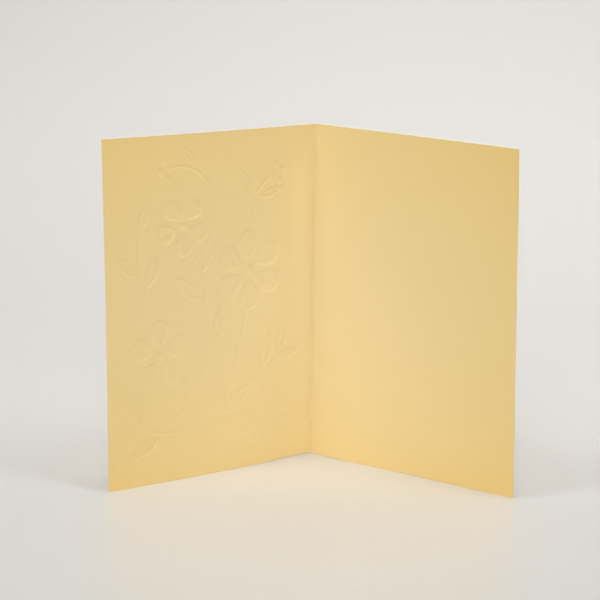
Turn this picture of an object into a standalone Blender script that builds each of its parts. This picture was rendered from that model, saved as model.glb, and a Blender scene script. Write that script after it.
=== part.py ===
"""A single-fold greeting card in thick pearl card, standing open like a book.

The sheet is die-cut square, creased down the middle, embossed on its front
cover with a spray of blossoms, leaves and berries, and folded once. The relief
stands out on the front cover and is sunk on the inside of the same leaf.

Frame: +Z up, the fold at the back (+Y), the two leaves open towards -Y. Seen
from the inside the front cover is the leaf on the left (-X). The origin is at
the centre of the footprint.
"""
import math

import bmesh
import bpy
import numpy as np
from mathutils import Vector
from mathutils.geometry import delaunay_2d_cdt

# Sheet
CARD_HEIGHT = 0.1778
LEAF_WIDTH = 0.127
SHEET_THICKNESS = 0.00034

# Fold: a crease with a raised bead on the inside between two score lines
FOLD_RADIUS = 0.001
BEAD_HEIGHT = 0.00024
SCORE_FROM_FOLD = 0.0005
SCORE_DEPTH = 0.00016
SCORE_HALF_WIDTH = 0.0002

# Stance: foot angle of each leaf, then how far its free edge has sprung
FRONT_FOOT_ANGLE = math.radians(37.33)
BACK_FOOT_ANGLE = math.radians(36.47)
FRONT_TOP_SPRING = -0.0066
BACK_TOP_SPRING = 0.0063
FRONT_EDGE_BOW = 0.0009
BACK_EDGE_BOW = -0.0001
FRONT_FACE_BOW = 0.0015
BACK_FACE_BOW = -0.0008
FOOT_LIFT = 0.0004
FRONT_LIFT_REACH = 0.042
BACK_LIFT_REACH = 0.025
FRONT_WAVE = 0.00036
FRONT_WAVE_SHARE = 0.57
BACK_WAVE = 0.0002
BACK_WAVE_FROM_FOLD = 0.070
BACK_WAVE_REACH = 0.018

# Embossing
RELIEF_HEIGHT = 0.00024
RELIEF_WALL = 0.0010
VEIN_DEPTH = 0.00012
VEIN_REACH = 0.0009
PETAL_LENGTH = 0.0168
PETAL_WIDTH = 0.0136
PETAL_START = 0.0046
EYE_RADIUS = 0.0032
LEAF_LENGTH = 0.0265
LEAF_BREADTH = 0.0098
BUD_LENGTH = 0.0125
BUD_BREADTH = 0.0070
BERRY_RADIUS = 0.0024
BERRY_REACH = 0.0026
STEM_BREADTH = 0.0018
FORM_GAP = 0.0010
PETAL_SHAPE_SHARES = (0.62, 0.6)
LEAF_SHAPE_SHARES = (0.45, 0.9)
BUD_SHAPE_SHARES = (0.52, 0.75)
PETAL_SPREAD_SHARE = 0.12
STEM_WALL_SHARE = 0.4

# Layout of the spray, as shares of the leaf across from the fold and upwards.
# A turn of 0 points to the free edge and a quarter turn points up.
RELIEF_RING_SHARES = (0.0, 0.42, 1.0)
STEM_ROUTE_SHARES = (
    ((0.500, 0.070), (0.470, 0.200), (0.370, 0.340), (0.350, 0.465)),
    ((0.535, 0.085), (0.580, 0.180), (0.680, 0.190), (0.715, 0.270)),
    ((0.460, 0.300), (0.540, 0.400), (0.530, 0.540), (0.595, 0.650)),
    ((0.395, 0.275), (0.330, 0.250), (0.240, 0.260), (0.190, 0.330)),
    ((0.620, 0.155), (0.720, 0.125), (0.840, 0.145), (0.885, 0.220)),
    ((0.310, 0.735), (0.320, 0.800), (0.270, 0.850), (0.200, 0.865)),
    ((0.790, 0.510), (0.850, 0.560), (0.870, 0.640), (0.840, 0.730)),
    ((0.400, 0.110), (0.330, 0.105), (0.250, 0.115), (0.190, 0.145)),
    ((0.520, 0.850), (0.560, 0.895), (0.640, 0.920), (0.710, 0.905)),
)
BLOSSOM_STEM_SHARES = (
    (0, 1.00, 0.08, 6),
    (1, 0.86, 0.05, 5),
    (2, 0.74, 0.15, 5),
)
STEM_LEAF_SHARES = (
    (0, 0.24, 1, 0.105, 0.95),
    (0, 0.26, -1, 0.090, 0.85),
    (1, 0.62, -1, 0.150, 0.75),
    (2, 0.26, -1, 0.070, 0.75),
    (2, 0.62, 1, 0.105, 0.85),
    (2, 0.84, -1, 0.090, 0.80),
    (3, 0.45, -1, 0.130, 0.65),
    (3, 0.62, 1, 0.120, 0.85),
    (3, 0.95, -1, 0.130, 0.60),
    (4, 0.45, 1, 0.110, 0.80),
    (4, 0.72, -1, 0.110, 0.70),
    (5, 0.30, 1, 0.110, 0.75),
    (5, 0.40, -1, 0.140, 0.60),
    (6, 0.30, -1, 0.120, 0.75),
    (6, 0.50, 1, 0.095, 0.65),
    (7, 0.35, -1, 0.120, 0.55),
    (8, 0.45, -1, 0.090, 0.50),
)
BUD_STEM_SHARES = (
    (3, 1.00),
    (4, 1.00),
    (6, 1.00),
)
BERRY_STEM_SHARES = (
    (5, 0.00, 1.0),
    (5, 0.20, 0.9),
    (5, -0.20, 0.9),
    (7, 0.00, 1.0),
    (7, 0.20, 0.9),
    (7, -0.20, 0.9),
    (8, 0.00, 1.0),
    (8, 0.20, 0.9),
    (8, -0.20, 0.9),
)

# Fineness
BLADE_STEPS = 8
VEIN_STEPS = 3
DISC_STEPS = 9
STEM_STEPS = 6
SHEET_ROWS = 9
SHEET_COLUMNS = 8
EDGE_COLUMNS = 32
BEAD_STEPS = 3
GRID_CLEARANCE = 0.0024
SHARP_ANGLE = math.radians(40)
POINT_MERGE = 0.000001

PEARL_YELLOW = (0.86, 0.67, 0.33, 1.0)
PEARL_ROUGHNESS = 0.42
PEARL_METALLIC = 0.0


def clear_scene():
    for item in list(bpy.data.objects):
        bpy.data.objects.remove(item, do_unlink=True)


def leaf_angle(front, rise):
    """Angle of one leaf to the X axis at a share of the card's height."""
    foot = FRONT_FOOT_ANGLE if front else BACK_FOOT_ANGLE
    spring = FRONT_TOP_SPRING if front else BACK_TOP_SPRING
    bow = FRONT_EDGE_BOW if front else BACK_EDGE_BOW
    moved = spring * rise + bow * 4 * rise * (1 - rise)
    return foot + moved / LEAF_WIDTH


def foot_lift(across):
    """How far the lower edge clears the ground at one place along it."""
    front = across < 0
    reach = FRONT_LIFT_REACH if front else BACK_LIFT_REACH
    share = min(abs(across) / reach, 1)
    lift = FOOT_LIFT * math.cos(math.pi / 2 * share) ** 2
    if front:
        return lift + FRONT_WAVE * math.sin(math.pi * share ** FRONT_WAVE_SHARE) ** 2
    beside = min(abs(across - BACK_WAVE_FROM_FOLD) / BACK_WAVE_REACH, 1)
    return lift + BACK_WAVE * math.cos(math.pi / 2 * beside) ** 2


def folded(across, up, outward):
    """Place a point of the flat sheet on the folded card."""
    front = across < 0
    rise = up / CARD_HEIGHT
    angle = leaf_angle(front, rise)
    side = -1 if front else 1
    arc = min(abs(across) / FOLD_RADIUS, angle)
    run = abs(across) - arc * FOLD_RADIUS
    share = run / LEAF_WIDTH
    face_bow = FRONT_FACE_BOW if front else BACK_FACE_BOW
    out = outward - face_bow * 4 * share * (1 - share)
    x = FOLD_RADIUS * math.sin(arc) + run * math.cos(arc) + out * math.sin(arc)
    y = FOLD_RADIUS * (math.cos(arc) - 1) - run * math.sin(arc) + out * math.cos(arc)
    return Vector((side * x, y, up + foot_lift(across) * (1 - rise)))


def place(shares):
    """A point of the front leaf from its shares across and upwards."""
    return np.array((-shares[0] * LEAF_WIDTH, shares[1] * CARD_HEIGHT))


def heading(turn):
    return np.array((-math.cos(turn * math.tau), math.sin(turn * math.tau)))


def blade(start, along, length, width, shape, inset):
    """Outline of a petal, leaf or bud that starts at its stalk, drawn in by the inset."""
    widest_share, round_share = shape
    beside = np.array((-along[1], along[0]))
    tip = inset * length / width
    lean = math.log(1 / 2) / math.log(widest_share)
    left = []
    right = []
    for step in range(BLADE_STEPS + 1):
        share = step / BLADE_STEPS
        spine = start + along * (tip + (length - 2 * tip) * share)
        swell = max(0, math.sin(math.pi * share ** lean)) ** round_share
        left.append(spine + beside * (width / 2 - inset) * swell)
        right.append(spine - beside * (width / 2 - inset) * swell)
    return left + right[-2:0:-1]


def midrib(start, along, length, width):
    """The sunk line down the middle of a petal, leaf or bud."""
    tip = RELIEF_WALL * length / width
    stations = [(1 + step) / (VEIN_STEPS + 1) for step in range(VEIN_STEPS)]
    return [start + along * (tip + (length - 2 * tip) * share) for share in stations]


def disc(centre, radius, inset):
    return [centre + (radius - inset) * heading(step / DISC_STEPS) for step in range(DISC_STEPS)]


def on_stem(number, share):
    """A point along one stem and the way the stem points there."""
    points = [place(pair) for pair in STEM_ROUTE_SHARES[number]]
    while len(points) > 2:
        points = [a + (b - a) * share for a, b in zip(points, points[1:])]
    way = points[1] - points[0]
    return points[0] + way * share, way / np.linalg.norm(way)


def stem(number, inset):
    """Outline of one stem, drawn in by the inset."""
    left = []
    right = []
    for step in range(STEM_STEPS + 1):
        point, along = on_stem(number, step / STEM_STEPS)
        beside = np.array((-along[1], along[0]))
        end = (step == 0) - (step == STEM_STEPS)
        left.append(point + along * inset * end + beside * (STEM_BREADTH / 2 - inset))
        right.append(point + along * inset * end - beside * (STEM_BREADTH / 2 - inset))
    return left + right[::-1]


def rings(outline, wall, *sizes):
    """The foot, shoulder and crown of one embossed form."""
    return [outline(*sizes, share * wall) for share in RELIEF_RING_SHARES]


def turned(along, turn):
    cosine = math.cos(turn * math.tau)
    sine = math.sin(turn * math.tau)
    return np.array((along[0] * cosine - along[1] * sine, along[0] * sine + along[1] * cosine))


def bladed(start, along, length, width, shape):
    steps = rings(blade, RELIEF_WALL, start, along, length, width, shape)
    return steps, RELIEF_WALL, midrib(start, along, length, width)


def blossoms():
    forms = []
    for number, size, turn, count in BLOSSOM_STEM_SHARES:
        end, along = on_stem(number, 1)
        reach = (PETAL_START + PETAL_LENGTH) * size
        centre = end + along * (reach + FORM_GAP)
        eye = EYE_RADIUS * size
        forms.append((rings(disc, RELIEF_WALL, centre, eye), RELIEF_WALL, []))
        for petal in range(count):
            way = heading(turn + petal / count)
            length = PETAL_LENGTH * size
            width = PETAL_WIDTH * size * (1 + PETAL_SPREAD_SHARE * (6 - count))
            forms.append(bladed(centre + way * PETAL_START * size, way, length, width, PETAL_SHAPE_SHARES))
    return forms


def foliage():
    forms = []
    for number, station, side, splay, size in STEM_LEAF_SHARES:
        point, along = on_stem(number, station)
        out = turned(along, side * splay)
        beside = np.array((-along[1], along[0])) * side
        start = point + beside * (STEM_BREADTH / 2 + FORM_GAP)
        forms.append(bladed(start, out, LEAF_LENGTH * size, LEAF_BREADTH * size, LEAF_SHAPE_SHARES))
    for number, size in BUD_STEM_SHARES:
        end, along = on_stem(number, 1)
        start = end + along * FORM_GAP
        forms.append(bladed(start, along, BUD_LENGTH * size, BUD_BREADTH * size, BUD_SHAPE_SHARES))
    return forms


def berries():
    forms = []
    for number, splay, size in BERRY_STEM_SHARES:
        end, along = on_stem(number, 1)
        way = turned(along, splay)
        radius = BERRY_RADIUS * size
        centre = end + way * (radius + BERRY_REACH)
        forms.append((rings(disc, RELIEF_WALL, centre, radius), RELIEF_WALL, []))
    return forms


def spray():
    """Each embossed form as its rings, its relief wall and its vein."""
    wall = STEM_BREADTH * STEM_WALL_SHARE
    stems = [(rings(stem, wall, number), wall, []) for number in range(len(STEM_ROUTE_SHARES))]
    return blossoms() + foliage() + berries() + stems


def beyond(points, a, b):
    """Distance of each point to the straight line from a to b."""
    line = b - a
    share = np.clip(((points - a) @ line) / (line @ line), 0, 1)
    return np.linalg.norm(points - a - share[:, None] * line, axis=1)


def nearest(points, line, closed):
    ends = zip(line, line[1:] + line[:1] if closed else line[1:])
    return np.min([beyond(points, a, b) for a, b in ends], axis=0)


def enclosed(points, outline):
    """Which points lie inside the closed outline."""
    inside = np.zeros(len(points), dtype=bool)
    for a, b in zip(outline, outline[1:] + outline[:1]):
        spans = (a[1] > points[:, 1]) != (b[1] > points[:, 1])
        with np.errstate(divide="ignore", invalid="ignore"):
            cut = a[0] + (points[:, 1] - a[1]) * (b[0] - a[0]) / (b[1] - a[1])
        inside ^= spans & (points[:, 0] < cut)
    return inside


def relief(points, forms):
    """Height of the embossing over the flat sheet at each point."""
    height = np.zeros(len(points))
    for steps, wall, vein in forms:
        outline = steps[0]
        depth = np.where(enclosed(points, outline), nearest(points, outline, True), 0)
        full = RELIEF_HEIGHT * wall / RELIEF_WALL
        rise = full * (1 - np.cos(math.pi * np.minimum(depth / wall, 1))) / 2
        if vein:
            near = np.maximum(0, 1 - nearest(points, vein, False) / VEIN_REACH)
            rise -= np.where(depth > 0, VEIN_DEPTH * near, 0)
        height = np.maximum(height, rise)
    return height


def crease(across):
    """How far the inside face stands in from the sheet at the fold."""
    bead_half = SCORE_FROM_FOLD - SCORE_HALF_WIDTH
    away = abs(across)
    bead = BEAD_HEIGHT * math.cos(math.pi / 2 * min(away / bead_half, 1)) ** 2
    score = SCORE_DEPTH * max(0, 1 - abs(away - SCORE_FROM_FOLD) / SCORE_HALF_WIDTH)
    return bead - score


def fold_columns():
    """Places across the fold where the bead and its score lines turn."""
    bead_half = SCORE_FROM_FOLD - SCORE_HALF_WIDTH
    right = [bead_half * (1 + step) / BEAD_STEPS for step in range(BEAD_STEPS)]
    right += [SCORE_FROM_FOLD, SCORE_FROM_FOLD + SCORE_HALF_WIDTH]
    return [-spot for spot in reversed(right)] + [0] + right


def flat_sheet(forms):
    """Points and lines of the unfolded sheet that the faces are cut along."""
    leaf_steps = [LEAF_WIDTH * (1 + step) / SHEET_COLUMNS for step in range(SHEET_COLUMNS)]
    ups = [CARD_HEIGHT * row / (SHEET_ROWS - 1) for row in range(SHEET_ROWS)]
    creases = fold_columns()
    acrosses = [-step for step in reversed(leaf_steps)] + creases + leaf_steps
    points = []
    lines = []

    def run(new, closed):
        first = len(points)
        points.extend(new)
        last = len(points) - 1
        lines.extend((index, index + 1) for index in range(first, last))
        if closed:
            lines.append((last, first))

    edge_steps = [LEAF_WIDTH * (1 + step) / EDGE_COLUMNS for step in range(EDGE_COLUMNS)]
    edge = [-step for step in reversed(edge_steps)] + creases + edge_steps
    base = [np.array((across, 0)) for across in edge]
    top = [np.array((across, CARD_HEIGHT)) for across in reversed(acrosses)]
    right = [np.array((LEAF_WIDTH, up)) for up in ups[1:-1]]
    left = [np.array((-LEAF_WIDTH, up)) for up in reversed(ups[1:-1])]
    run(base + right + top + left, True)
    for across in creases:
        run([np.array((across, up)) for up in ups], False)
    inner = [np.array((across, up)) for across in acrosses[1:-1] for up in ups[1:-1]]
    inner = np.array([point for point in inner if abs(point[0]) > creases[-1]])
    clear = np.ones(len(inner), dtype=bool)
    for steps, wall, vein in forms:
        clear &= ~enclosed(inner, steps[0])
        clear &= nearest(inner, steps[0], True) > GRID_CLEARANCE
    points.extend(inner[clear])
    for steps, wall, vein in forms:
        for ring in steps:
            run(ring, True)
        run(vein, False)
    return points, lines


def cut_faces(points, lines):
    """Fill the sheet with triangles that keep every line."""
    spots = [Vector(point) for point in points]
    spots, _, faces, _, _, _ = delaunay_2d_cdt(spots, lines, [], 0, POINT_MERGE)
    return np.array([tuple(spot) for spot in spots]), faces


def card_mesh():
    forms = spray()
    spots, faces = cut_faces(*flat_sheet(forms))
    raised = relief(spots, forms)
    sheet = bmesh.new()
    outside = []
    inside = []
    for (across, up), rise in zip(spots, raised):
        outside.append(sheet.verts.new(folded(across, up, SHEET_THICKNESS / 2 + rise)))
        inner = crease(across) + SHEET_THICKNESS / 2 - rise
        inside.append(sheet.verts.new(folded(across, up, -inner)))
    borders = set()
    for face in faces:
        sheet.faces.new([inside[corner] for corner in face])
        sheet.faces.new([outside[corner] for corner in reversed(face)])
        for edge in zip(face, face[1:] + face[:1]):
            if edge[::-1] in borders:
                borders.remove(edge[::-1])
            else:
                borders.add(edge)
    for a, b in sorted(borders):
        sheet.faces.new([inside[b], inside[a], outside[a], outside[b]])
    mesh = bpy.data.meshes.new("card")
    sheet.to_mesh(mesh)
    sheet.free()
    mesh.shade_smooth()
    mesh.set_sharp_from_angle(angle=SHARP_ANGLE)
    return mesh


def pearl_card():
    material = bpy.data.materials.new("pearl_card")
    material.use_nodes = True
    surface = material.node_tree.nodes["Principled BSDF"]
    surface.inputs["Base Color"].default_value = PEARL_YELLOW
    surface.inputs["Roughness"].default_value = PEARL_ROUGHNESS
    surface.inputs["Metallic"].default_value = PEARL_METALLIC
    return material


def build_card():
    mesh = card_mesh()
    mesh.materials.append(pearl_card())
    card = bpy.data.objects.new("card", mesh)
    bpy.context.scene.collection.objects.link(card)
    corners = np.array([vertex.co for vertex in mesh.vertices])
    middle = (corners.min(axis=0) + corners.max(axis=0)) / 2
    card.location = (-middle[0], -middle[1], 0)
    return card


clear_scene()
build_card()
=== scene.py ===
"""The open greeting card on a pale sweep under soft light."""
import math
import bmesh
import bpy
import numpy as np
from mathutils import Matrix, Vector
from mathutils.geometry import delaunay_2d_cdt


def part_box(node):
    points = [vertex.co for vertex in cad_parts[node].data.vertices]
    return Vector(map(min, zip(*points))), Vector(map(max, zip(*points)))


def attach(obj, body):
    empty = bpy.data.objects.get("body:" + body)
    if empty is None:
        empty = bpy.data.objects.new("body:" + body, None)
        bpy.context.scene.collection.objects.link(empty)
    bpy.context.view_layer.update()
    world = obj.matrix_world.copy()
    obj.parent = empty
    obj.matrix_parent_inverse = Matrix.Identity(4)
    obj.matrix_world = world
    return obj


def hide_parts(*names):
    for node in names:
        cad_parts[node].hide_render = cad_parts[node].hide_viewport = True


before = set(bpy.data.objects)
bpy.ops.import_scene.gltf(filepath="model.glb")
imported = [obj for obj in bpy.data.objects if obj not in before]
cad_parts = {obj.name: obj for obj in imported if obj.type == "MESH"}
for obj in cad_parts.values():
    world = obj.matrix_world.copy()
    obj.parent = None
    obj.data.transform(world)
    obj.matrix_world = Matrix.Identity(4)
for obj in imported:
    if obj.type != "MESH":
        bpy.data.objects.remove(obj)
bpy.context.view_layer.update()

# The card's own sizes, as in the solid
CARD_HEIGHT = 0.1778
LEAF_WIDTH = 0.127
SHEET_THICKNESS = 0.00034
FOLD_RADIUS = 0.001
BEAD_HEIGHT = 0.00024
SCORE_FROM_FOLD = 0.0005
SCORE_DEPTH = 0.00016
SCORE_HALF_WIDTH = 0.0002
FRONT_FOOT_ANGLE = math.radians(37.33)
BACK_FOOT_ANGLE = math.radians(36.47)
FRONT_TOP_SPRING = -0.0066
BACK_TOP_SPRING = 0.0063
FRONT_EDGE_BOW = 0.0009
BACK_EDGE_BOW = -0.0001
FRONT_FACE_BOW = 0.0015
BACK_FACE_BOW = -0.0008
FOOT_LIFT = 0.0004
FRONT_LIFT_REACH = 0.042
BACK_LIFT_REACH = 0.025
FRONT_WAVE = 0.00036
FRONT_WAVE_SHARE = 0.57
BACK_WAVE = 0.0002
BACK_WAVE_FROM_FOLD = 0.070
BACK_WAVE_REACH = 0.018
RELIEF_WALL = 0.0010
VEIN_DEPTH = 0.00012
VEIN_REACH = 0.0009
PETAL_LENGTH = 0.0168
PETAL_WIDTH = 0.0136
PETAL_START = 0.0046
EYE_RADIUS = 0.0032
LEAF_LENGTH = 0.0265
LEAF_BREADTH = 0.0098
BUD_LENGTH = 0.0125
BUD_BREADTH = 0.0070
BERRY_RADIUS = 0.0024
BERRY_REACH = 0.0026
STEM_BREADTH = 0.0018
FORM_GAP = 0.0010
PETAL_SHAPE_SHARES = (0.62, 0.6)
LEAF_SHAPE_SHARES = (0.45, 0.9)
BUD_SHAPE_SHARES = (0.52, 0.75)
PETAL_SPREAD_SHARE = 0.12
FULL_PETAL_COUNT = 6
STEM_WALL_SHARE = 0.4
STEM_ROUTE_SHARES = (
    ((0.500, 0.070), (0.470, 0.200), (0.370, 0.340), (0.350, 0.465)),
    ((0.535, 0.085), (0.580, 0.180), (0.680, 0.190), (0.715, 0.270)),
    ((0.460, 0.300), (0.540, 0.400), (0.530, 0.540), (0.595, 0.650)),
    ((0.395, 0.275), (0.330, 0.250), (0.240, 0.260), (0.190, 0.330)),
    ((0.620, 0.155), (0.720, 0.125), (0.840, 0.145), (0.885, 0.220)),
    ((0.310, 0.735), (0.320, 0.800), (0.270, 0.850), (0.200, 0.865)),
    ((0.790, 0.510), (0.850, 0.560), (0.870, 0.640), (0.840, 0.730)),
    ((0.400, 0.110), (0.330, 0.105), (0.250, 0.115), (0.190, 0.145)),
    ((0.520, 0.850), (0.560, 0.895), (0.640, 0.920), (0.710, 0.905)),
)
BLOSSOM_STEM_SHARES = (
    (0, 1.00, 0.08, 6),
    (1, 0.86, 0.05, 5),
    (2, 0.74, 0.15, 5),
)
STEM_LEAF_SHARES = (
    (0, 0.24, 1, 0.105, 0.95),
    (0, 0.26, -1, 0.090, 0.85),
    (1, 0.62, -1, 0.150, 0.75),
    (2, 0.26, -1, 0.070, 0.75),
    (2, 0.62, 1, 0.105, 0.85),
    (2, 0.84, -1, 0.090, 0.80),
    (3, 0.45, -1, 0.130, 0.65),
    (3, 0.62, 1, 0.120, 0.85),
    (3, 0.95, -1, 0.130, 0.60),
    (4, 0.45, 1, 0.110, 0.80),
    (4, 0.72, -1, 0.110, 0.70),
    (5, 0.30, 1, 0.110, 0.75),
    (5, 0.40, -1, 0.140, 0.60),
    (6, 0.30, -1, 0.120, 0.75),
    (6, 0.50, 1, 0.095, 0.65),
    (7, 0.35, -1, 0.120, 0.55),
    (8, 0.45, -1, 0.090, 0.50),
)
BUD_STEM_SHARES = (
    (3, 1.00),
    (4, 1.00),
    (6, 1.00),
)
BERRY_STEM_SHARES = (
    (5, 0.00, 1.0),
    (5, 0.20, 0.9),
    (5, -0.20, 0.9),
    (7, 0.00, 1.0),
    (7, 0.20, 0.9),
    (7, -0.20, 0.9),
    (8, 0.00, 1.0),
    (8, 0.20, 0.9),
    (8, -0.20, 0.9),
)

# Height of the relief as drawn here, and how steeply its midribs sink.
# The solid's relief is 0.24 mm high, which these lamps bring out too strongly.
RELIEF_HEIGHT = 0.00017
VEIN_SHARPNESS = 1.5

# Fineness of the dressed card
RING_SHARES = (-0.30, 0.0, 0.2, 0.4, 0.6, 0.8, 1.0)
BLADE_STEPS = 16
DISC_STEPS = 24
STEM_STEPS = 16
VEIN_STEPS = 8
SHEET_ROWS = 61
SHEET_COLUMNS = 44
BEAD_STEPS = 6
SCORE_COLUMN_WIDTHS = (0, 1, 3)
GRID_CLEARANCE = 0.0010
POINT_MERGE = 0.000001
SHARP_EDGE = math.radians(50)

# Engraved lines: their section, and where they run on a leaf and on a petal
LINE_DEPTH = 0.00006
LINE_REACH = 0.00050
LEAF_LINE_SHARES = (0.26, 0.44, 0.62)
LEAF_LINE_RUN = 0.17
LEAF_LINE_INSET = RELIEF_WALL * 1.3
LEAF_LINE_STOPS = (0.22, 0.48, 0.74, 1.0)
PETAL_LINE_SHARES = (0.38, 0.52, 0.66, 0.80)
PETAL_LINE_START = 0.42
PETAL_LINE_SPREAD = 0.30

# Camera: where it stands from the foot of the fold, and how it looks
CAMERA_FROM_FOLD = (-0.00666, -1.15436, 0.33224)
CAMERA_PITCH = 0.21182
CAMERA_ROLL = -0.01709
CAMERA_FOCAL_PIXELS = 2235.2
FRAME_PIXELS = 600
SENSOR_WIDTH = 36.0
CLIP_START = 0.05
CLIP_END = 20

# Sweep of paper that the card stands on
SWEEP_HALF_WIDTH = 0.9
SWEEP_FRONT = -0.5
SWEEP_BACK = 1.0
SWEEP_RADIUS = 0.7
SWEEP_HEIGHT = 1.6
SWEEP_STEPS = 24
SWEEP_ROUGHNESS = 0.33
SWEEP_SPECULAR = 0.8

# Lamps: place, the point each one looks at, size, power in watts and spread in degrees.
# Those with a small spread each lift one place: the crease, its foot, the floor and the backdrop.
CARD_AIM = (0, 0, 0.08)
GROUND_AIM = (0, -0.03, 0)
BACK_AIM = (0, 0.1, 0.1)
FOLD_AIM = (0, 0.03, 0.02)
CREASE_AIM = (-0.0045, 0.036, 0.074)
COVE_AIM = (0.15, 0.65, 0.1)
COVE_LEFT_AIM = (-0.2, 0.65, 0.1)
LAMPS = (
    ("front", (-0.08, -1.94, 1.11), CARD_AIM, (0.7, 0.5), 18.6, 180),
    ("front_left", (-1.33, -1.04, 1.49), CARD_AIM, (0.5, 0.5), 4.0, 180),
    ("high_left", (-0.91, -0.485, 2.02), CARD_AIM, (0.4, 0.4), 6.52, 180),
    ("high_right", (1.065, -0.615, 1.90), CARD_AIM, (0.8, 0.8), 11.8, 180),
    ("near_left", (-0.62, -0.4, 1.25), GROUND_AIM, (0.3, 0.3), 1.19, 180),
    ("back_left", (-0.6, 0.35, 0.5), BACK_AIM, (0.5, 0.5), 1.3, 180),
    ("back_right", (0.6, 0.35, 0.5), BACK_AIM, (0.5, 0.5), 1.52, 180),
    ("fold_spot", (0, -1.4, 0.75), FOLD_AIM, (0.12, 0.12), 0.0024, 5),
    ("crease_strip", (0.86, -0.79, 0.074), CREASE_AIM, (0.006, 0.16), 0.0003, 1.0),
    ("overhead", (0, -0.05, 1.3), GROUND_AIM, (0.3, 0.3), 0.271, 40),
    ("cove_spot", (0.1, -0.3, 1.3), COVE_AIM, (0.4, 0.4), 0.73, 50),
    ("cove_spot_left", (-0.3, -0.3, 1.3), COVE_LEFT_AIM, (0.4, 0.4), 0.222, 50),
)
SKY_STRENGTH = 0.106

# Painted sheen: centre and reach of the paler middle painted into the card's pearl colour, and its
# clouding
SHEEN_MIDDLE = (-0.004, 0.0, 0.089)
SHEEN_REACH = (0.15, 1.0, 0.119)
CLOUD_STRENGTH = 0.06

# Surface of the card: clouding, fibre and sheen, on its faces, its cut edge and its fold lines
CLOUD_SCALE = 90.0
CLOUD_DETAIL = 5.0
CLOUD_ROUGHNESS = 0.6
FIBRE_SCALE = 2600.0
FIBRE_DETAIL = 3.0
FIBRE_DISTANCE = 0.00006
FACE_FIBRE = 0.22
EDGE_FIBRE = 0.5
FACE_ROUGHNESS = 0.45
EDGE_ROUGHNESS = 0.7
LINE_ROUGHNESS = 0.5
CARD_SPECULAR = 0.15

# Order of the card's materials, and numbers of the sockets of a colour mix
FACE_MATERIAL = 0
EDGE_MATERIAL = 1
SCORE_SHADE_MATERIAL = 2
BEAD_HIGHLIGHT_MATERIAL = 3
MIX_SHARE_IN = 0
MIX_FIRST_IN = 6
MIX_SECOND_IN = 7
MIX_OUT = 2

# Linear colours
# The first card colour is a painted sheen that pales the card's middle; the second is its colour
# away from the middle
CARD_PAINTED_SHEEN = (0.899, 0.725, 0.386, 1.0)
CARD_DEEP = (0.899, 0.659, 0.261, 1.0)
# Painted shade: a darker colour in the score lines beside the fold
CARD_SCORE_SHADE = (0.870, 0.663, 0.303, 1.0)
# Painted highlight: a paler colour on the bead between the score lines
CARD_BEAD_HIGHLIGHT = (0.936, 0.810, 0.526, 1.0)
SKY_COLOUR = (1.0, 1.0, 1.0, 1.0)
SWEEP_COLOUR = (0.620, 0.605, 0.580, 1.0)


def leaf_angle(front, rise):
    """Angle between a leaf and the plane across the fold, at a share of the height."""
    foot = FRONT_FOOT_ANGLE if front else BACK_FOOT_ANGLE
    spring = FRONT_TOP_SPRING if front else BACK_TOP_SPRING
    bow = FRONT_EDGE_BOW if front else BACK_EDGE_BOW
    moved = spring * rise + bow * 4 * rise * (1 - rise)
    return foot + moved / LEAF_WIDTH


def foot_lift(across):
    """How far the lower edge clears the ground at one place along it."""
    front = across < 0
    reach = FRONT_LIFT_REACH if front else BACK_LIFT_REACH
    share = min(abs(across) / reach, 1)
    lift = FOOT_LIFT * math.cos(math.pi / 2 * share) ** 2
    if front:
        return lift + FRONT_WAVE * math.sin(math.pi * share ** FRONT_WAVE_SHARE) ** 2
    beside = min(abs(across - BACK_WAVE_FROM_FOLD) / BACK_WAVE_REACH, 1)
    return lift + BACK_WAVE * math.cos(math.pi / 2 * beside) ** 2


def folded(across, up, outward):
    """Place a point of the flat sheet on the folded card."""
    front = across < 0
    rise = up / CARD_HEIGHT
    angle = leaf_angle(front, rise)
    side = -1 if front else 1
    arc = min(abs(across) / FOLD_RADIUS, angle)
    run = abs(across) - arc * FOLD_RADIUS
    share = run / LEAF_WIDTH
    face_bow = FRONT_FACE_BOW if front else BACK_FACE_BOW
    out = outward - face_bow * 4 * share * (1 - share)
    x = FOLD_RADIUS * math.sin(arc) + run * math.cos(arc) + out * math.sin(arc)
    y = FOLD_RADIUS * (math.cos(arc) - 1) - run * math.sin(arc) + out * math.cos(arc)
    return Vector((side * x, y, up + foot_lift(across) * (1 - rise)))


def place(shares):
    return np.array((-shares[0] * LEAF_WIDTH, shares[1] * CARD_HEIGHT))


def heading(turn):
    return np.array((-math.cos(turn * math.tau), math.sin(turn * math.tau)))


def blade_section(start, along, length, width, shape, inset, share):
    """The middle and half width of a blade at a share of its length."""
    widest_share, round_share = shape
    tip = inset * length / width
    lean = math.log(1 / 2) / math.log(widest_share)
    spine = start + along * (tip + (length - 2 * tip) * share)
    swell = max(0, math.sin(math.pi * share ** lean)) ** round_share
    return spine, (width / 2 - inset) * swell


def blade(start, along, length, width, shape, inset):
    """Outline of a petal, leaf or bud, drawn in by the inset."""
    beside = np.array((-along[1], along[0]))
    left = []
    right = []
    for step in range(BLADE_STEPS + 1):
        share = (1 - math.cos(math.pi * step / BLADE_STEPS)) / 2
        spine, half = blade_section(start, along, length, width, shape, inset, share)
        left.append(spine + beside * half)
        right.append(spine - beside * half)
    return left + right[-2:0:-1]


def midrib(start, along, length, width):
    tip = RELIEF_WALL * length / width
    stations = [(1 + step) / (VEIN_STEPS + 1) for step in range(VEIN_STEPS)]
    return [start + along * (tip + (length - 2 * tip) * share) for share in stations]


def disc(centre, radius, inset):
    return [centre + (radius - inset) * heading(step / DISC_STEPS) for step in range(DISC_STEPS)]


def on_stem(number, share):
    points = [place(pair) for pair in STEM_ROUTE_SHARES[number]]
    while len(points) > 2:
        points = [a + (b - a) * share for a, b in zip(points, points[1:])]
    way = points[1] - points[0]
    return points[0] + way * share, way / np.linalg.norm(way)


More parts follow.
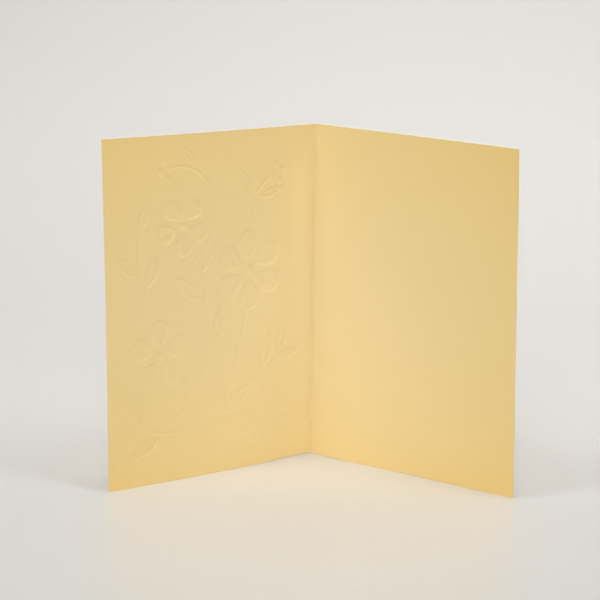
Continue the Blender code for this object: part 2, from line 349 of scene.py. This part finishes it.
def stem(number, inset):
    left = []
    right = []
    for step in range(STEM_STEPS + 1):
        point, along = on_stem(number, step / STEM_STEPS)
        beside = np.array((-along[1], along[0]))
        end = (step == 0) - (step == STEM_STEPS)
        left.append(point + along * inset * end + beside * (STEM_BREADTH / 2 - inset))
        right.append(point + along * inset * end - beside * (STEM_BREADTH / 2 - inset))
    return left + right[::-1]


def rings(outline, wall, *sizes):
    return [outline(*sizes, share * wall) for share in RING_SHARES]


def turned(along, turn):
    cosine = math.cos(turn * math.tau)
    sine = math.sin(turn * math.tau)
    return np.array((along[0] * cosine - along[1] * sine, along[0] * sine + along[1] * cosine))


def side_lines(start, along, length, width, shape):
    """Fine lines that leave the midrib of a leaf for its edge."""
    beside = np.array((-along[1], along[0]))
    lines = []
    for share in LEAF_LINE_SHARES:
        foot, _ = blade_section(start, along, length, width, shape, RELIEF_WALL, share)
        far = share + LEAF_LINE_RUN
        tip, half = blade_section(start, along, length, width, shape, LEAF_LINE_INSET, far)
        for side in (-1, 1):
            end = tip + beside * side * half
            lines.append([foot + (end - foot) * t for t in LEAF_LINE_STOPS])
    return lines


def petal_lines(start, along, length, width, shape):
    """Fine lines that fan out beside the midrib of a petal."""
    beside = np.array((-along[1], along[0]))
    lines = []
    for side in (-1, 1):
        line = []
        for share in PETAL_LINE_SHARES:
            middle, half = blade_section(start, along, length, width, shape, RELIEF_WALL, share)
            out = PETAL_LINE_START + PETAL_LINE_SPREAD * (share - PETAL_LINE_SHARES[0])
            line.append(middle + beside * side * half * out)
        lines.append(line)
    return lines


def bladed(start, along, length, width, shape, lines):
    steps = rings(blade, RELIEF_WALL, start, along, length, width, shape)
    return steps, RELIEF_WALL, midrib(start, along, length, width), lines


def blossoms():
    forms = []
    for number, size, turn, count in BLOSSOM_STEM_SHARES:
        end, along = on_stem(number, 1)
        reach = (PETAL_START + PETAL_LENGTH) * size
        centre = end + along * (reach + FORM_GAP)
        forms.append((rings(disc, RELIEF_WALL, centre, EYE_RADIUS * size), RELIEF_WALL, [], []))
        for petal in range(count):
            way = heading(turn + petal / count)
            length = PETAL_LENGTH * size
            width = PETAL_WIDTH * size * (1 + PETAL_SPREAD_SHARE * (FULL_PETAL_COUNT - count))
            start = centre + way * PETAL_START * size
            lines = petal_lines(start, way, length, width, PETAL_SHAPE_SHARES)
            forms.append(bladed(start, way, length, width, PETAL_SHAPE_SHARES, lines))
    return forms


def foliage():
    forms = []
    for number, station, side, splay, size in STEM_LEAF_SHARES:
        point, along = on_stem(number, station)
        out = turned(along, side * splay)
        beside = np.array((-along[1], along[0])) * side
        start = point + beside * (STEM_BREADTH / 2 + FORM_GAP)
        length = LEAF_LENGTH * size
        breadth = LEAF_BREADTH * size
        lines = side_lines(start, out, length, breadth, LEAF_SHAPE_SHARES)
        forms.append(bladed(start, out, length, breadth, LEAF_SHAPE_SHARES, lines))
    for number, size in BUD_STEM_SHARES:
        end, along = on_stem(number, 1)
        start = end + along * FORM_GAP
        length = BUD_LENGTH * size
        breadth = BUD_BREADTH * size
        forms.append(bladed(start, along, length, breadth, BUD_SHAPE_SHARES, []))
    return forms


def berries():
    forms = []
    for number, splay, size in BERRY_STEM_SHARES:
        end, along = on_stem(number, 1)
        way = turned(along, splay)
        radius = BERRY_RADIUS * size
        centre = end + way * (radius + BERRY_REACH)
        forms.append((rings(disc, RELIEF_WALL, centre, radius), RELIEF_WALL, [], []))
    return forms


def spray():
    wall = STEM_BREADTH * STEM_WALL_SHARE
    stems = [(rings(stem, wall, number), wall, [], []) for number in range(len(STEM_ROUTE_SHARES))]
    return blossoms() + foliage() + berries() + stems


def beyond(points, a, b):
    line = b - a
    share = np.clip(((points - a) @ line) / (line @ line), 0, 1)
    return np.linalg.norm(points - a - share[:, None] * line, axis=1)


def nearest(points, line, closed):
    ends = zip(line, line[1:] + line[:1] if closed else line[1:])
    return np.min([beyond(points, a, b) for a, b in ends], axis=0)


def enclosed(points, outline):
    inside = np.zeros(len(points), dtype=bool)
    for a, b in zip(outline, outline[1:] + outline[:1]):
        spans = (a[1] > points[:, 1]) != (b[1] > points[:, 1])
        with np.errstate(divide="ignore", invalid="ignore"):
            cut = a[0] + (points[:, 1] - a[1]) * (b[0] - a[0]) / (b[1] - a[1])
        inside ^= spans & (points[:, 0] < cut)
    return inside


def relief(points, forms):
    """Height of the embossing over the flat sheet at each point."""
    height = np.zeros(len(points))
    for steps, wall, vein, lines in forms:
        outline = steps[RING_SHARES.index(0.0)]
        low = np.min(outline, axis=0)
        high = np.max(outline, axis=0)
        near = np.flatnonzero(np.all((points >= low) & (points <= high), axis=1))
        local = points[near]
        depth = np.where(enclosed(local, outline), nearest(local, outline, True), 0)
        full = RELIEF_HEIGHT * wall / RELIEF_WALL
        rise = full * (1 - np.cos(math.pi * np.minimum(depth / wall, 1))) / 2
        held = np.minimum(depth / wall, 1)
        if vein:
            sunk = np.maximum(0, 1 - nearest(local, vein, False) / VEIN_REACH)
            rise -= held * VEIN_DEPTH * sunk ** VEIN_SHARPNESS
        for line in lines:
            sunk = np.maximum(0, 1 - nearest(local, line, False) / LINE_REACH)
            rise -= held * LINE_DEPTH * sunk
        height[near] = np.maximum(height[near], rise)
    return height


def crease(across):
    """How far the inside face stands in from the sheet at the fold."""
    bead_half = SCORE_FROM_FOLD - SCORE_HALF_WIDTH
    away = abs(across)
    bead = BEAD_HEIGHT * math.cos(math.pi / 2 * min(away / bead_half, 1)) ** 2
    score = SCORE_DEPTH * max(0, 1 - abs(away - SCORE_FROM_FOLD) / SCORE_HALF_WIDTH)
    return bead - score


def fold_line(acrosses):
    """Material of an inside face, by how far from the fold its corners lie: a painted highlight on
    the bead, painted shade in the score lines.
    """
    away = abs(sum(acrosses) / len(acrosses))
    if away < SCORE_FROM_FOLD - SCORE_HALF_WIDTH:
        return BEAD_HIGHLIGHT_MATERIAL
    return SCORE_SHADE_MATERIAL if away < SCORE_FROM_FOLD + SCORE_HALF_WIDTH else FACE_MATERIAL


def fold_columns():
    """Places across the sheet, near the fold, that get a column of points."""
    bead_half = SCORE_FROM_FOLD - SCORE_HALF_WIDTH
    right = [bead_half * (1 + step) / BEAD_STEPS for step in range(BEAD_STEPS)]
    right += [SCORE_FROM_FOLD + SCORE_HALF_WIDTH * widths for widths in SCORE_COLUMN_WIDTHS]
    return [-spot for spot in reversed(right)] + [0] + right


def groove(line):
    """A fine line with a point row on either side of it."""
    rows = []
    for side in (-1, 0, 1):
        row = []
        for number, point in enumerate(line):
            way = line[min(number + 1, len(line) - 1)] - line[max(number - 1, 0)]
            beside = np.array((-way[1], way[0])) / np.linalg.norm(way)
            row.append(point + beside * side * LINE_REACH)
        rows.append(row)
    return rows


def flat_sheet(forms):
    """Points and lines of the unfolded sheet that the faces are cut along."""
    leaf_steps = [LEAF_WIDTH * (1 + step) / SHEET_COLUMNS for step in range(SHEET_COLUMNS)]
    ups = [CARD_HEIGHT * row / (SHEET_ROWS - 1) for row in range(SHEET_ROWS)]
    creases = fold_columns()
    acrosses = [-step for step in reversed(leaf_steps)] + creases + leaf_steps
    points = []
    lines = []

    def run(new, closed):
        first = len(points)
        points.extend(new)
        last = len(points) - 1
        lines.extend((index, index + 1) for index in range(first, last))
        if closed:
            lines.append((last, first))

    base = [np.array((across, 0)) for across in acrosses]
    top = [np.array((across, CARD_HEIGHT)) for across in reversed(acrosses)]
    right = [np.array((LEAF_WIDTH, up)) for up in ups[1:-1]]
    left = [np.array((-LEAF_WIDTH, up)) for up in reversed(ups[1:-1])]
    run(base + right + top + left, True)
    for across in creases:
        run([np.array((across, up)) for up in ups], False)
    inner = [np.array((across, up)) for across in acrosses[1:-1] for up in ups[1:-1]]
    inner = np.array([point for point in inner if abs(point[0]) > creases[-1]])
    clear = np.ones(len(inner), dtype=bool)
    for steps, _, _, _ in forms:
        clear &= ~enclosed(inner, steps[0])
        clear &= nearest(inner, steps[0], True) > GRID_CLEARANCE
    points.extend(inner[clear])
    for steps, _, vein, fine_lines in forms:
        for ring in steps:
            run(ring, True)
        for row in groove(vein) if vein else []:
            run(row, False)
        for line in fine_lines:
            for row in groove(line):
                run(row, False)
    return points, lines


def cut_faces(points, lines):
    spots = [Vector(point) for point in points]
    spots, _, faces, _, _, _ = delaunay_2d_cdt(spots, lines, [], 0, POINT_MERGE)
    return np.array([tuple(spot) for spot in spots]), faces


def shift_to_frame(mesh):
    """Put the folded sheet where the solid stands."""
    low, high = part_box("card")
    corners = np.array([vertex.co for vertex in mesh.vertices])
    middle = (corners.min(axis=0) + corners.max(axis=0)) / 2
    aim = (np.array(low) + np.array(high)) / 2
    shift = Vector((aim[0] - middle[0], aim[1] - middle[1], 0))
    mesh.transform(Matrix.Translation(shift))
    return shift


def card_mesh():
    forms = spray()
    spots, faces = cut_faces(*flat_sheet(forms))
    raised = relief(spots, forms)
    sheet = bmesh.new()
    outside = []
    inside = []
    for (across, up), rise in zip(spots, raised):
        outside.append(sheet.verts.new(folded(across, up, SHEET_THICKNESS / 2 + rise)))
        inner = crease(across) + SHEET_THICKNESS / 2 - rise
        inside.append(sheet.verts.new(folded(across, up, -inner)))
    borders = set()
    for face in faces:
        lining = sheet.faces.new([inside[corner] for corner in face])
        lining.material_index = fold_line([spots[corner][0] for corner in face])
        sheet.faces.new([outside[corner] for corner in reversed(face)])
        for edge in zip(face, face[1:] + face[:1]):
            if edge[::-1] in borders:
                borders.remove(edge[::-1])
            else:
                borders.add(edge)
    for a, b in sorted(borders):
        rim = sheet.faces.new([inside[b], inside[a], outside[a], outside[b]])
        rim.material_index = EDGE_MATERIAL
    mesh = bpy.data.meshes.new("card_sheet")
    sheet.to_mesh(mesh)
    sheet.free()
    mesh.shade_smooth()
    mesh.set_sharp_from_angle(angle=SHARP_EDGE)
    return mesh


def node(tree, kind, **values):
    made = tree.nodes.new(kind)
    for name, value in values.items():
        setattr(made, name, value)
    return made


def painted_sheen_share(tree, place_in, clouds):
    """Square of how far a point lies from the middle of the painted sheen, in reaches, with
    clouding on top.
    """
    around = node(tree, "ShaderNodeMapping")
    offset = [-spot / reach for spot, reach in zip(SHEEN_MIDDLE, SHEEN_REACH)]
    around.inputs["Location"].default_value = offset
    around.inputs["Scale"].default_value = [1 / reach for reach in SHEEN_REACH]
    away = node(tree, "ShaderNodeVectorMath", operation="DOT_PRODUCT")
    mottled = node(tree, "ShaderNodeMath", operation="MULTIPLY_ADD")
    mottled.inputs[1].default_value = CLOUD_STRENGTH
    tree.links.new(place_in.outputs["Object"], around.inputs["Vector"])
    tree.links.new(around.outputs["Vector"], away.inputs[0])
    tree.links.new(around.outputs["Vector"], away.inputs[1])
    tree.links.new(clouds.outputs["Fac"], mottled.inputs[0])
    tree.links.new(away.outputs["Value"], mottled.inputs[2])
    return mottled.outputs["Value"]


def card_material(name, edge):
    """Pearl card with fine fibre, faint clouding and a soft satin sheen, and a painted sheen that
    makes its middle paler.
    """
    material = bpy.data.materials.new(name)
    material.use_nodes = True
    tree = material.node_tree
    surface = tree.nodes["Principled BSDF"]
    place_in = node(tree, "ShaderNodeTexCoord")
    clouds = node(tree, "ShaderNodeTexNoise")
    clouds.inputs["Scale"].default_value = CLOUD_SCALE
    clouds.inputs["Detail"].default_value = CLOUD_DETAIL
    clouds.inputs["Roughness"].default_value = CLOUD_ROUGHNESS
    tree.links.new(place_in.outputs["Object"], clouds.inputs["Vector"])
    # Mix of the painted sheen into the card's colour, strongest in its middle
    sheen_tint = node(tree, "ShaderNodeMix", data_type="RGBA")
    sheen_tint.inputs[MIX_FIRST_IN].default_value = CARD_PAINTED_SHEEN
    sheen_tint.inputs[MIX_SECOND_IN].default_value = CARD_DEEP
    tree.links.new(painted_sheen_share(tree, place_in, clouds), sheen_tint.inputs[MIX_SHARE_IN])
    tree.links.new(sheen_tint.outputs[MIX_OUT], surface.inputs["Base Color"])
    fibre = node(tree, "ShaderNodeTexNoise")
    fibre.inputs["Scale"].default_value = FIBRE_SCALE
    fibre.inputs["Detail"].default_value = FIBRE_DETAIL
    tree.links.new(place_in.outputs["Object"], fibre.inputs["Vector"])
    bump = node(tree, "ShaderNodeBump")
    bump.inputs["Strength"].default_value = EDGE_FIBRE if edge else FACE_FIBRE
    bump.inputs["Distance"].default_value = FIBRE_DISTANCE
    tree.links.new(fibre.outputs["Fac"], bump.inputs["Height"])
    tree.links.new(bump.outputs["Normal"], surface.inputs["Normal"])
    surface.inputs["Roughness"].default_value = EDGE_ROUGHNESS if edge else FACE_ROUGHNESS
    surface.inputs["Specular IOR Level"].default_value = CARD_SPECULAR
    return material


def line_material(name, colour):
    """One of the fine lines along the fold, coloured with painted shade for the score lines or a
    painted highlight for the bead.
    """
    material = bpy.data.materials.new(name)
    material.use_nodes = True
    surface = material.node_tree.nodes["Principled BSDF"]
    surface.inputs["Base Color"].default_value = colour
    surface.inputs["Roughness"].default_value = LINE_ROUGHNESS
    surface.inputs["Specular IOR Level"].default_value = CARD_SPECULAR
    return material


def build_card():
    """Make the dressed card and return where the foot of its fold stands."""
    mesh = card_mesh()
    shift = shift_to_frame(mesh)
    mesh.materials.append(card_material("pearl_card_face", False))
    mesh.materials.append(card_material("pearl_card_edge", True))
    # Fold-line materials: painted shade in the score lines and a painted highlight on the bead
    mesh.materials.append(line_material("pearl_card_score_painted_shade", CARD_SCORE_SHADE))
    mesh.materials.append(line_material("pearl_card_bead_painted_highlight", CARD_BEAD_HIGHLIGHT))
    card = bpy.data.objects.new("card_sheet", mesh)
    bpy.context.scene.collection.objects.link(card)
    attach(card, "root")
    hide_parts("card")
    return shift


def sweep():
    """The pale floor that rises into a backdrop behind the card."""
    foot = SWEEP_BACK - SWEEP_RADIUS
    profile = [(SWEEP_FRONT, 0.0), (foot, 0.0)]
    for step in range(1, SWEEP_STEPS + 1):
        turn = math.pi / 2 * step / SWEEP_STEPS
        profile.append((foot + SWEEP_RADIUS * math.sin(turn), SWEEP_RADIUS * (1 - math.cos(turn))))
    profile.append((SWEEP_BACK, SWEEP_HEIGHT))
    corners = []
    for y, z in profile:
        corners.append((-SWEEP_HALF_WIDTH, y, z))
        corners.append((SWEEP_HALF_WIDTH, y, z))
    faces = [(2 * i, 2 * i + 1, 2 * i + 3, 2 * i + 2) for i in range(len(profile) - 1)]
    mesh = bpy.data.meshes.new("sweep")
    mesh.from_pydata(corners, [], faces)
    mesh.shade_smooth()
    material = bpy.data.materials.new("sweep_paper")
    material.use_nodes = True
    surface = material.node_tree.nodes["Principled BSDF"]
    surface.inputs["Base Color"].default_value = SWEEP_COLOUR
    surface.inputs["Roughness"].default_value = SWEEP_ROUGHNESS
    surface.inputs["Specular IOR Level"].default_value = SWEEP_SPECULAR
    mesh.materials.append(material)
    floor = bpy.data.objects.new("sweep", mesh)
    bpy.context.scene.collection.objects.link(floor)


def lamp(name, spot, aim, size, power, spread):
    data = bpy.data.lights.new(name, "AREA")
    data.shape = "RECTANGLE"
    data.size = size[0]
    data.size_y = size[1]
    data.energy = power
    data.spread = math.radians(spread)
    made = bpy.data.objects.new(name, data)
    made.location = spot
    made.rotation_euler = (Vector(aim) - Vector(spot)).to_track_quat("-Z", "Y").to_euler()
    bpy.context.scene.collection.objects.link(made)


def lights():
    for row in LAMPS:
        lamp(*row)
    world = bpy.data.worlds.new("room")
    world.use_nodes = True
    sky = world.node_tree.nodes["Background"]
    sky.inputs["Color"].default_value = SKY_COLOUR
    sky.inputs["Strength"].default_value = SKY_STRENGTH
    bpy.context.scene.world = world


def camera(shift):
    """The photograph's view, from the foot of the fold."""
    cos_p = math.cos(CAMERA_PITCH)
    sin_p = math.sin(CAMERA_PITCH)
    cos_r = math.cos(CAMERA_ROLL)
    sin_r = math.sin(CAMERA_ROLL)
    forward = Vector((0, cos_p, -sin_p))
    level = Vector((1, 0, 0))
    down = forward.cross(level)
    right = level * cos_r + down * sin_r
    down = down * cos_r - level * sin_r
    data = bpy.data.cameras.new("camera")
    data.sensor_width = SENSOR_WIDTH
    data.lens = CAMERA_FOCAL_PIXELS / FRAME_PIXELS * SENSOR_WIDTH
    data.clip_start = CLIP_START
    data.clip_end = CLIP_END
    made = bpy.data.objects.new("camera", data)
    turn = Matrix((right, -down, -forward)).transposed()
    made.matrix_world = Matrix.Translation(Vector(CAMERA_FROM_FOLD) + shift) @ turn.to_4x4()
    bpy.context.scene.collection.objects.link(made)
    bpy.context.scene.camera = made


fold_foot = build_card()
sweep()
lights()
camera(fold_foot)
bpy.context.scene.view_settings.view_transform = "Standard"
